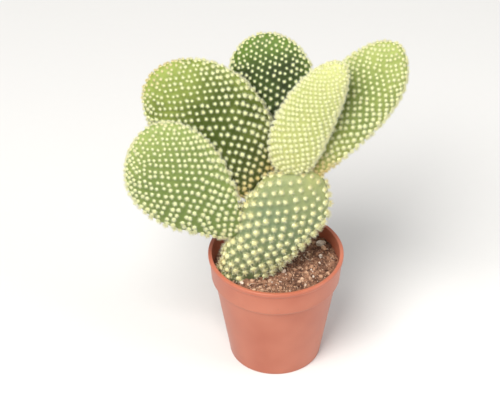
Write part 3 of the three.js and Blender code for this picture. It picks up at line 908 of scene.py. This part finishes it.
class PearAreoleSettings(bpy.types.PropertyGroup):
    """Bristle tufts of the areoles."""

    bristles: IntProperty(name="Bristles", description="Bristles in one tuft", default=44, min=6)
    bristle_length: FloatProperty(
        name="Bristle length", description="Length of the longest bristles",
        default=1.15 * MM, min=0.1 * MM, unit="LENGTH",
    )
    bristle_width: FloatProperty(
        name="Bristle width", description="Radius of a bristle's root in lengths, coarser than life to show",
        default=0.078, min=0.005, subtype="FACTOR",
    )
    cushion: FloatProperty(
        name="Cushion radius", description="Radius of the woolly cushion that the bristles grow from",
        default=0.62 * MM, min=0.05 * MM, unit="LENGTH",
    )
    fan: FloatProperty(
        name="Fan", description="Lean of the outermost bristles", default=math.radians(68), subtype="ANGLE",
    )
    kinds: IntProperty(name="Kinds", description="Different cushions and bristles", default=3, min=1)
    seed: IntProperty(name="Seed", description="Seed of every random draw", default=7)
    cream: FloatVectorProperty(
        name="Young colour", description="Colour of young bristles", subtype="COLOR", size=4,
        default=linear("#fbfdca"), min=0, max=1,
    )
    golden: FloatVectorProperty(
        name="Old colour", description="Colour of old bristles", subtype="COLOR", size=4,
        default=linear("#d4a832"), min=0, max=1,
    )


class PearPotSettings(bpy.types.PropertyGroup):
    """Plastic of the pot."""

    plastic: FloatVectorProperty(
        name="Plastic", description="Main colour of the plastic", subtype="COLOR", size=4,
        default=linear("#ae5e45"), min=0, max=1,
    )
    plastic_light: FloatVectorProperty(
        name="Light plastic", description="Colour where the plastic has flowed thinner",
        subtype="COLOR", size=4, default=linear("#bf735a"), min=0, max=1,
    )


class PearPeatSettings(bpy.types.PropertyGroup):
    """Crumbs and fibres on the peat."""

    coarse: FloatProperty(
        name="Coarse crumb", description="Diameter of the largest crumbs",
        default=2.2 * MM, min=0.2 * MM, unit="LENGTH",
    )
    fine: FloatProperty(
        name="Fine crumb", description="Diameter of the smallest crumbs",
        default=0.4 * MM, min=0.1 * MM, unit="LENGTH",
    )
    fibre: FloatProperty(
        name="Fibre length", description="Length of the longest peat fibres",
        default=6 * MM, min=1 * MM, unit="LENGTH",
    )
    seed: IntProperty(name="Seed", description="Seed of every random draw", default=3)


class PearStageSettings(bpy.types.PropertyGroup):
    """Floor, lights and camera."""

    floor: FloatVectorProperty(
        name="Floor", description="Colour of the floor", subtype="COLOR", size=4,
        default=linear("#e2e1df"), min=0, max=1,
    )
    key_power: FloatProperty(
        name="Key power", description="Power of the large light above the front", default=14.5, min=0,
        unit="POWER",
    )
    fill_power: FloatProperty(
        name="Fill power", description="Power of the light at the right", default=2.5, min=0, unit="POWER",
    )
    sky: FloatProperty(
        name="Surround", description="Strength of the white surroundings", default=0.5, min=0,
    )
    lens: FloatProperty(
        name="Lens", description="Focal length in millimetres on a 36 mm sensor", default=163.4, min=1,
    )


def all_pads():
    return [Pad(name, sizes) for name, sizes in PADS.items()]


def areoles_of(pad, pads):
    """t and angle of the areoles that show: outside the other pads and clear of the peat."""
    t, angle = pad.lattice()
    points = pad.surface(t, angle)
    clearance = AREOLE_CLEARANCE_MM * MM
    shown = points[:, 2] > soil_height(points[:, 0], points[:, 1]) + clearance
    for other in pads:
        if other is not pad:
            shown &= np.array([not other.holds(point, clearance) for point in points])
    return t[shown], angle[shown]


def relief(pad, points, mounds, settings):
    """Offset of the skin at each point, and how near each is to an areole, from 0 to 1."""
    radius = settings.mound_radius * pad.tuft
    near = np.array([mounds.find(Vector(point))[2] for point in points])
    mound = np.exp(-((near / radius) ** 2))
    return settings.unevenness * unevenness(points) + settings.mound_height * pad.tuft * mound, mound


def tree_of(points):
    """A search tree over points."""
    search = kdtree.KDTree(len(points))
    for number, point in enumerate(points):
        search.insert(Vector(point), number)
    search.balance()
    return search


class PEAR_OT_pads(bpy.types.Operator):
    """Make the skins of all six pads, with a low mound under each areole"""

    bl_idname = "pear.pads"
    bl_label = "Pads"

    def execute(self, context):
        settings = context.scene.pear_pads
        pads = all_pads()
        for pad in pads:
            spots, spot_angles = areoles_of(pad, pads)
            mounds = tree_of(pad.surface(spots, spot_angles))
            steps = 1 - (1 - np.arange(SKIN_RINGS) / SKIN_RINGS) ** SKIN_EASE
            turns = 2 * np.pi * np.arange(SKIN_SIDES) / SKIN_SIDES
            t, angle = (grid.ravel() for grid in np.meshgrid(steps, turns, indexing="ij"))
            points = pad.surface(t, angle)
            lift, mound = relief(pad, points, mounds, settings)
            points = points + lift[:, None] * pad.outward(t, angle)
            points = np.vstack([points, pad.foot, pad.tip])
            rim = np.abs(np.cos(angle)) ** MARGIN_SHARPNESS
            piece = mesh_object(f"skin_{pad.name}", points, ring_faces(SKIN_RINGS, SKIN_SIDES), attributes={
                "along": np.append(t, [0, 1]),
                "rim": np.append(rim, [0, 1]),
                "mound": np.append(mound, [0, 0]),
            })
            piece.data.materials.append(epidermis(pad))
            settle(piece, pad.slot, pad.node)
        return {"FINISHED"}


def cushion_kind(name, draw):
    """A low lumpy dome of radius one, whose levels are given by radius and height."""
    sides, foot, top, lumpiness = 7, -0.3, 0.66, 0.12
    levels = ((1.0, foot), (0.8, 0.38))
    points = []
    for radius, height in levels:
        for side in range(sides):
            turn = 2 * math.pi * side / sides
            reach = radius * draw.uniform(1 - lumpiness, 1 + lumpiness)
            points.append((reach * math.cos(turn), reach * math.sin(turn), height))
    points += [(0, 0, foot), (0, 0, top)]
    return mesh_object(name, points, ring_faces(len(levels), sides))


def bristle_kind(name, width, bow):
    """A three-sided bristle of length one, with its tip bowed to one side."""
    turns = [2 * math.pi * corner / 3 for corner in range(3)]
    points = [(width * math.cos(turn), width * math.sin(turn), 0) for turn in turns]
    points.append((bow, 0, 1))
    faces = ((0, 2, 1), (0, 1, 3), (1, 2, 3), (2, 0, 3))
    return mesh_object(name, points, faces, attributes={"rise": (0, 0, 0, 1)})


def gather(name, pieces):
    """Moves pieces into a collection of their own, from which a tree takes its copies."""
    holder = bpy.data.collections.new(name)
    bpy.context.scene.collection.children.link(holder)
    for piece in pieces:
        holder.objects.link(piece)
        bpy.context.scene.collection.objects.unlink(piece)
    return holder


def discard(holder):
    """Removes a collection and the pieces in it."""
    for piece in list(holder.objects):
        mesh = piece.data
        bpy.data.objects.remove(piece)
        bpy.data.meshes.remove(mesh)
    bpy.data.collections.remove(holder)


class PEAR_OT_areoles(bpy.types.Operator):
    """Stand a woolly cushion with a tuft of bristles on every areole"""

    bl_idname = "pear.areoles"
    bl_label = "Areole tufts"

    def execute(self, context):
        settings = context.scene.pear_areoles
        draw = random.Random(settings.seed)
        cushions = gather("cushion_kinds", [
            cushion_kind(f"cushion_{n}", draw) for n in range(settings.kinds)
        ])
        bristles = gather("bristle_kinds", [
            bristle_kind(f"bristle_{n}", settings.bristle_width, draw.uniform(*BRISTLE_BOW))
            for n in range(settings.kinds)
        ])
        wool = felt_material(settings)
        straw = glochid_material(settings)
        pads = all_pads()
        for number, pad in enumerate(pads):
            tufts = self.tufts_of(pad, pads, context)
            for name, copies, material, (points, attributes) in (
                ("wool", cushions, wool, self.cushion_points(tufts, settings)),
                ("bristles", bristles, straw, self.bristle_points(tufts, settings, number)),
            ):
                piece = mesh_object(f"{name}_{pad.name}", points, attributes=attributes)
                grow_by(copies_tree(), piece, {
                    "Copies": copies, "Seed": settings.seed + number, "Material": material,
                })
                settle(piece, pad.slot)
        discard(cushions)
        discard(bristles)
        return {"FINISHED"}

    def tufts_of(self, pad, pads, context):
        """Place, lean, tone and size of each of a pad's tufts, and what they share."""
        settings = context.scene.pear_areoles
        t, angle = areoles_of(pad, pads)
        points = pad.surface(t, angle)
        out = pad.outward(t, angle)
        lift, _ = relief(pad, points, tree_of(points), context.scene.pear_pads)
        lean = out + pad.nod * pad.axis
        chance = np.random.default_rng(settings.seed + len(t)).random((2, len(t)))
        joint = 1 - smoothstep(t, *JOINT_AGE_FADE)
        tip = smoothstep(t, *TIP_AGE_RISE)
        margin = np.abs(np.cos(angle)) ** MARGIN_SHARPNESS
        tone = pad.joint * joint + pad.apex * tip + MARGIN_AGE * margin + CHANCE_AGE * chance[0] ** 3
        size = pad.tuft * (1 - TIP_SHRINKING * smoothstep(t, SHRINKING_START, 1))
        size = size * (SMALLEST_TUFT + TUFT_SIZE_RANGE * chance[1])
        size = size * (1 + MARGIN_GROWTH * margin)
        return {
            "place": points + lift[:, None] * out,
            "out": out,
            "facing": lean / np.linalg.norm(lean, axis=1, keepdims=True),
            "tone": np.clip(tone, 0, 1),
            "size": size,
            "heart": pad.heart,
            "stretch": TUFT_STRETCH * pad.nod,
            "axis": pad.axis,
        }

    def cushion_points(self, tufts, settings):
        """Places and attributes of the cushions."""
        return tufts["place"], {
            "facing": tufts["out"],
            "tone": WOOL_AGE * tufts["tone"],
            "spread": settings.cushion * tufts["size"],
        }

    def bristle_points(self, tufts, settings, number):
        """Places and attributes of the bristles, fanned out of each cushion on a golden-angle spiral."""
        rng = np.random.default_rng(settings.seed + BRISTLE_SEED_SHIFT + number)
        count, each = len(tufts["size"]), settings.bristles
        share = (np.arange(each) + 0.5) / each + np.zeros((count, 1))
        turn = 2 * np.pi * (GOLDEN * np.arange(each) + rng.random((count, 1)))
        turn = turn + rng.uniform(-TURN_STRAY, TURN_STRAY, (count, each))
        lean = settings.fan * share ** FAN_POWER + rng.uniform(-LEAN_STRAY, LEAN_STRAY, (count, each))
        facing = tufts["facing"]
        aside = np.cross(facing, (0.0, 0.0, 1.0))
        aside /= np.linalg.norm(aside, axis=1, keepdims=True)
        ahead = np.cross(facing, aside)
        out = np.cos(turn)[..., None] * aside[:, None] + np.sin(turn)[..., None] * ahead[:, None]
        way = np.sin(lean)[..., None] * out + np.cos(lean)[..., None] * facing[:, None]
        radius = settings.cushion * tufts["size"][:, None]
        stretched = out + tufts["stretch"] * out.dot(tufts["axis"])[..., None] * tufts["axis"]
        place = (
            tufts["place"][:, None]
            + (SEAT_RADIUS * radius * np.sqrt(share))[..., None] * stretched
            + (SEAT_DOME * radius * (1 - share))[..., None] * facing[:, None]
        )
        length = settings.bristle_length * tufts["size"][:, None] * (1 - OUTER_SHORTENING * share)
        length = length * rng.uniform(SHORTEST_BRISTLE, 1, (count, each))
        tone = tufts["tone"][:, None] + tufts["heart"] * (1 - share) ** 2
        tone = tone + rng.uniform(-TONE_STRAY, TONE_STRAY, (count, each))
        return place.reshape(-1, 3), {
            "facing": way.reshape(-1, 3),
            "tone": np.clip(tone, 0, 1).ravel(),
            "spread": length.ravel(),
        }


def body_radius(z):
    """Outer radius of the pot's body at a height, in millimetres."""
    return BASE_RADIUS_MM + (BODY_TOP_RADIUS_MM - BASE_RADIUS_MM) * z / BODY_TOP_MM


def rounded(corners, radius):
    """A profile with each inner corner rounded off by a curve, as points in millimetres."""
    points = [Vector(corners[0])]
    for before, corner, after in zip(corners, corners[1:], corners[2:]):
        corner = Vector(corner)
        back, ahead = Vector(before) - corner, Vector(after) - corner
        reach = min(radius, EDGE_SHARE * back.length, EDGE_SHARE * ahead.length)
        start, end = corner + back.normalized() * reach, corner + ahead.normalized() * reach
        for step in range(EDGE_STEPS + 1):
            share = step / EDGE_STEPS
            points.append(start.lerp(corner, share).lerp(corner.lerp(end, share), share))
    points.append(Vector(corners[-1]))
    return points


def spun(name, profile, sides):
    """A closed body turned from a half section that starts and ends on the axis, in millimetres."""
    inner = profile[1:-1]
    turns = 2 * np.pi * np.arange(sides) / sides
    points = []
    for radius, height in inner:
        ring = np.stack([radius * np.cos(turns), radius * np.sin(turns), np.full(sides, height)], axis=1)
        points.extend(ring * MM)
    points.append((0, 0, profile[0][1] * MM))
    points.append((0, 0, profile[-1][1] * MM))
    return mesh_object(name, points, ring_faces(len(inner), sides))


class PEAR_OT_pot(bpy.types.Operator):
    """Turn the pot with its lip, collar, step, foot ring and drain holes"""

    bl_idname = "pear.pot"
    bl_label = "Pot"

    def execute(self, context):
        rim = RIM_RADIUS / MM
        height = POT_HEIGHT / MM
        edge = EDGE_ROUNDING_MM
        corners = [
            (0, 0),
            (CENTRE_DISC_RADIUS_MM, 0),
            (CENTRE_DISC_RADIUS_MM + edge, FLOOR_UNDERSIDE_MM),
            (BASE_RADIUS_MM - FOOT_RING_WIDTH_MM - edge, FLOOR_UNDERSIDE_MM),
            (BASE_RADIUS_MM - FOOT_RING_WIDTH_MM, 0),
            (BASE_RADIUS_MM, 0),
            (BODY_TOP_RADIUS_MM, BODY_TOP_MM),
            (COLLAR_FOOT_RADIUS_MM, COLLAR_FOOT_MM),
            (COLLAR_TOP_RADIUS_MM, height - LIP_HEIGHT_MM - edge),
            (rim, height - LIP_HEIGHT_MM),
            (rim, height),
            (COLLAR_TOP_RADIUS_MM - POT_WALL_MM, height),
            (COLLAR_FOOT_RADIUS_MM - POT_WALL_MM, COLLAR_FOOT_MM + edge),
            (BODY_TOP_RADIUS_MM - POT_WALL_MM, BODY_TOP_MM - edge),
            (body_radius(FLOOR_TOP_MM) - POT_WALL_MM, FLOOR_TOP_MM),
            (0, FLOOR_TOP_MM),
        ]
        pot = spun("nursery_pot", rounded(corners, edge), POT_SIDES)
        drills = []
        for number in range(DRAIN_HOLES):
            turn = 2 * math.pi * (number + 0.5) / DRAIN_HOLES
            circle = DRAIN_CIRCLE_MM * MM
            bpy.ops.mesh.primitive_cylinder_add(
                vertices=DRAIN_SIDES, radius=DRAIN_RADIUS_MM * MM, depth=3 * FLOOR_TOP_MM * MM,
                location=(circle * math.cos(turn), circle * math.sin(turn), 0),
            )
            drills.append(context.object)
        holder = gather("drills", drills)
        cut = pot.modifiers.new("drain_holes", "BOOLEAN")
        cut.operand_type = "COLLECTION"
        cut.collection = holder
        cut.solver = "EXACT"
        graph = context.evaluated_depsgraph_get()
        pot.data = bpy.data.meshes.new_from_object(pot.evaluated_get(graph), depsgraph=graph)
        pot.modifiers.clear()
        discard(holder)
        pot.data.materials.clear()
        pot.data.materials.append(plastic_material(context.scene.pear_pot))
        settle(pot, "pot", "pot")
        return {"FINISHED"}


class PEAR_OT_soil(bpy.types.Operator):
    """Fill the pot with peat up to under its rim"""

    bl_idname = "pear.soil"
    bl_label = "Peat"

    def execute(self, context):
        floor = FLOOR_TOP_MM + PEAT_CLEARANCE_MM
        slack = POT_WALL_MM + PEAT_CLEARANCE_MM
        share = (SOIL_LEVEL_MM - COLLAR_FOOT_MM) / COLLAR_HEIGHT_MM
        top_radius = COLLAR_FOOT_RADIUS_MM + (COLLAR_TOP_RADIUS_MM - COLLAR_FOOT_RADIUS_MM) * share - slack
        half = [
            (0, floor),
            (body_radius(floor) - slack - EDGE_ROUNDING_MM, floor),
            (body_radius(BODY_TOP_MM) - slack, BODY_TOP_MM - EDGE_ROUNDING_MM),
            (COLLAR_FOOT_RADIUS_MM - slack, COLLAR_FOOT_MM + 2 * EDGE_ROUNDING_MM),
        ]
        half += [(top_radius * (1 - ring / SOIL_RINGS), SOIL_LEVEL_MM) for ring in range(SOIL_RINGS + 1)]
        soil = spun("peat", half, SOIL_SIDES)
        under_top = (SOIL_LEVEL_MM - 0.1) * MM
        for vertex in soil.data.vertices:
            if vertex.co.z > under_top:
                x, y = vertex.co.x, vertex.co.y
                coarse = noise.noise(Vector((x, y, 0)) / (COARSE_LUMP_MM * MM))
                fine = noise.noise(Vector((x, y, 0.1)) / (FINE_LUMP_MM * MM))
                lumps = coarse + FINE_LUMP_SHARE * fine
                vertex.co.z = float(soil_height(x, y)) + LUMP_HEIGHT_MM * MM * lumps
        soil.data.materials.append(peat_material())
        settle(soil, "soil", "soil")
        return {"FINISHED"}


def grain_kind(name, draw, detail):
    """A crumb of diameter one, a little flattened, with lumps of its own."""
    far = 50
    bpy.ops.mesh.primitive_ico_sphere_add(subdivisions=detail, radius=0.5)
    grain = bpy.context.object
    grain.name = name
    stretch = Vector([draw.uniform(*limits) for limits in GRAIN_STRETCH])
    shift = Vector([draw.uniform(-far, far) for _ in range(3)])
    for vertex in grain.data.vertices:
        lump = 1 + GRAIN_LUMPS * noise.noise(vertex.co * GRAIN_WAVES + shift)
        vertex.co = Vector(a * b for a, b in zip(vertex.co, stretch)) * lump
    return grain


def fibre_kind(name, draw):
    """A bent peat fibre of length one, thickest in its middle."""
    rings, sides, radius, bow, wave, waves = 7, 4, 0.022, 0.4, 0.12, 2.5
    bend, twist = draw.uniform(0.15, 0.5), draw.uniform(-0.3, 0.3)
    points = []
    for ring in range(rings):
        share = ring / (rings - 1)
        x, y = share - 0.5, bend * math.sin(math.pi * share) * bow
        z = wave * math.sin(waves * share + twist)
        thick = radius * (0.5 + math.sin(math.pi * share) * 0.5)
        for side in range(sides):
            turn = 2 * math.pi * side / sides
            points.append((x, y + thick * math.cos(turn), z + thick * math.sin(turn)))
    points.append((-0.51, 0, points[0][2]))
    points.append((0.51, 0, points[rings * sides - 1][2]))
    return mesh_object(name, points, ring_faces(rings, sides))


def soil_surface():
    """The peat's upper face alone, for strewing."""
    radius = COLLAR_FOOT_RADIUS_MM - 1.5 * POT_WALL_MM
    rings, sides = 26, 72
    points, faces = [(0, 0, float(soil_height(0, 0)))], []
    for ring in range(1, rings + 1):
        for side in range(sides):
            turn = 2 * math.pi * side / sides
            x, y = (radius * MM * ring / rings * value for value in (math.cos(turn), math.sin(turn)))
            points.append((x, y, float(soil_height(x, y))))
    for side in range(sides):
        after = (side + 1) % sides
        faces.append((0, 1 + side, 1 + after))
        for ring in range(rings - 1):
            low, high = 1 + ring * sides, 1 + (ring + 1) * sides
            faces.append((low + side, high + side, high + after, low + after))
    return mesh_object("strewn_face", points, faces)


class PEAR_OT_crumbs(bpy.types.Operator):
    """Strew crumbs, grit and fibres over the peat"""

    bl_idname = "pear.crumbs"
    bl_label = "Crumbs and fibres"

    def execute(self, context):
        settings = context.scene.pear_peat
        draw = random.Random(settings.seed)
        grit = grain_material()
        for number, (name, detail, kind, most, least, distance_mm, density) in enumerate(CRUMB_LAYERS):
            largest = getattr(settings, kind) * most
            kinds = [grain_kind(f"{name}_{n}", draw, detail) for n in range(CRUMB_KINDS)]
            self.lay(f"crumbs_{name}", soil_surface(), kinds, scatter_tree(), {
                "Distance": distance_mm * MM, "Density": density, "Smallest": largest * least,
                "Largest": largest, "Tilt": CRUMB_TILT, "Rise": CRUMB_RISE * largest,
                "Seed": settings.seed + number, "Material": grit,
            })
        kinds = [fibre_kind(f"fibre_{n}", draw) for n in range(FIBRE_KINDS)]
        self.lay("peat_fibres", soil_surface(), kinds, scatter_tree(), {
            "Distance": FIBRE_DISTANCE_MM * MM, "Density": FIBRE_DENSITY,
            "Smallest": settings.fibre * SHORTEST_FIBRE, "Largest": settings.fibre, "Tilt": FIBRE_TILT,
            "Rise": FIBRE_RISE_MM * MM, "Seed": settings.seed + FIBRE_SEED_SHIFT, "Material": grit,
        })
        kinds = [grain_kind(f"pale_{n}", draw, PALE_DETAIL) for n in range(PALE_KINDS)]
        self.lay("pale_grains", self.pale_places(draw), kinds, copies_tree(), {
            "Seed": PALE_SEED, "Material": grit,
        })
        return {"FINISHED"}

    def lay(self, name, piece, kinds, tree, values):
        """Lays copies of a few kinds by a tree on a piece's points or faces, as one piece of the peat."""
        piece.name = name
        holder = gather(f"{name}_kinds", kinds)
        grow_by(tree, piece, {"Copies": holder, **values})
        settle(piece, "soil")
        discard(holder)

    def pale_places(self, draw):
        """Points where the few large pale grains lie, each with its lean, tone and size."""
        x, y, diameter, tone = (np.array(column) for column in zip(*PALE_GRAINS))
        heights = soil_height(x * MM, y * MM) + PALE_RISE * diameter * MM
        facing = [(draw.uniform(-PALE_LEAN, PALE_LEAN), draw.uniform(-PALE_LEAN, PALE_LEAN), 1) for _ in x]
        return mesh_object("pale_places", np.stack([x * MM, y * MM, heights], axis=1), attributes={
            "facing": facing, "tone": tone, "spread": diameter * MM,
        })


class PEAR_OT_roots(bpy.types.Operator):
    """Give the crown and roots in the peat their bark"""

    bl_idname = "pear.roots"
    bl_label = "Roots"

    def execute(self, context):
        roots = frame["nodes"]["roots"]
        roots.data.materials.clear()
        roots.data.materials.append(root_material())
        return {"FINISHED"}


def area_light(name, place, power, size, colour):
    """Hangs a square soft light that looks at the plant."""
    light = bpy.data.lights.new(name, "AREA")
    light.energy = power
    light.size = size
    light.color = colour
    lamp = bpy.data.objects.new(name, light)
    bpy.context.scene.collection.objects.link(lamp)
    lamp.location = place
    lamp.rotation_euler = (LIGHTS_LOOK_AT - Vector(place)).to_track_quat("-Z", "Y").to_euler()


class PEAR_OT_stage(bpy.types.Operator):
    """Set the floor, the soft lights and the camera"""

    bl_idname = "pear.stage"
    bl_label = "Stage"

    def execute(self, context):
        settings = context.scene.pear_stage
        half = FLOOR_HALF_WIDTH
        corners = [(-half, -half, 0), (half, -half, 0), (half, half, 0), (-half, half, 0)]
        floor = mesh_object("floor", corners, [(0, 1, 2, 3)], smooth=False)
        floor.data.materials.append(stage_material(settings.floor))

        world = bpy.data.worlds.new("white_surround")
        world.use_nodes = True
        world.node_tree.nodes.clear()
        sky = add_node(world.node_tree, "ShaderNodeBackground", {
            "Color": linear("#fbfbfb"), "Strength": settings.sky,
        })
        add_node(world.node_tree, "ShaderNodeOutputWorld", {"Surface": sky.outputs["Background"]})
        context.scene.world = world

        area_light(
            "key_light", place=(-0.28, -0.55, 0.95), power=settings.key_power, size=0.55,
            colour=(1.0, 0.985, 0.96),
        )
        area_light(
            "fill_light", place=(0.75, -0.25, 0.5), power=settings.fill_power, size=0.5,
            colour=(0.97, 0.985, 1.0),
        )

        lens = bpy.data.cameras.new("camera")
        lens.sensor_width = SENSOR_WIDTH_MM
        lens.lens = settings.lens
        lens.clip_end = 20
        camera = bpy.data.objects.new("camera", lens)
        context.scene.collection.objects.link(camera)
        place = Vector(CAMERA_PLACE_MM) * MM
        camera.location = place
        camera.rotation_euler = (Vector(CAMERA_TARGET_MM) * MM - place).to_track_quat("-Z", "Y").to_euler()
        context.scene.camera = camera
        context.scene.view_settings.view_transform = "Standard"
        return {"FINISHED"}


STEPS = (
    PEAR_OT_stage, PEAR_OT_pads, PEAR_OT_areoles, PEAR_OT_pot, PEAR_OT_soil, PEAR_OT_crumbs, PEAR_OT_roots,
)
SETTINGS = {
    "pear_pads": PearPadSettings,
    "pear_areoles": PearAreoleSettings,
    "pear_pot": PearPotSettings,
    "pear_peat": PearPeatSettings,
    "pear_stage": PearStageSettings,
}


class PEAR_PT_panel(bpy.types.Panel):
    """Lists the steps and their settings"""

    bl_idname = "PEAR_PT_panel"
    bl_label = "Prickly Pear"
    bl_space_type = "VIEW_3D"
    bl_region_type = "UI"
    bl_category = "Prickly Pear"

    def draw(self, context):
        for step in STEPS:
            self.layout.operator(step.bl_idname)
        for name, group in SETTINGS.items():
            box = self.layout.box()
            box.label(text=group.__doc__)
            for key in group.__annotations__:
                box.prop(getattr(context.scene, name), key)


def register():
    for group in SETTINGS.values():
        bpy.utils.register_class(group)
    for name, group in SETTINGS.items():
        setattr(bpy.types.Scene, name, PointerProperty(type=group))
    for step in STEPS:
        bpy.utils.register_class(step)
    bpy.utils.register_class(PEAR_PT_panel)


def unregister():
    bpy.utils.unregister_class(PEAR_PT_panel)
    for step in reversed(STEPS):
        bpy.utils.unregister_class(step)
    for name in SETTINGS:
        delattr(bpy.types.Scene, name)
    for group in SETTINGS.values():
        bpy.utils.unregister_class(group)


def main():
    register()
    bpy.ops.pear.stage()
    bpy.ops.pear.pads()
    bpy.ops.pear.areoles()
    bpy.ops.pear.pot()
    bpy.ops.pear.soil()
    bpy.ops.pear.crumbs()
    bpy.ops.pear.roots()


if __name__ == "__main__":
    main()
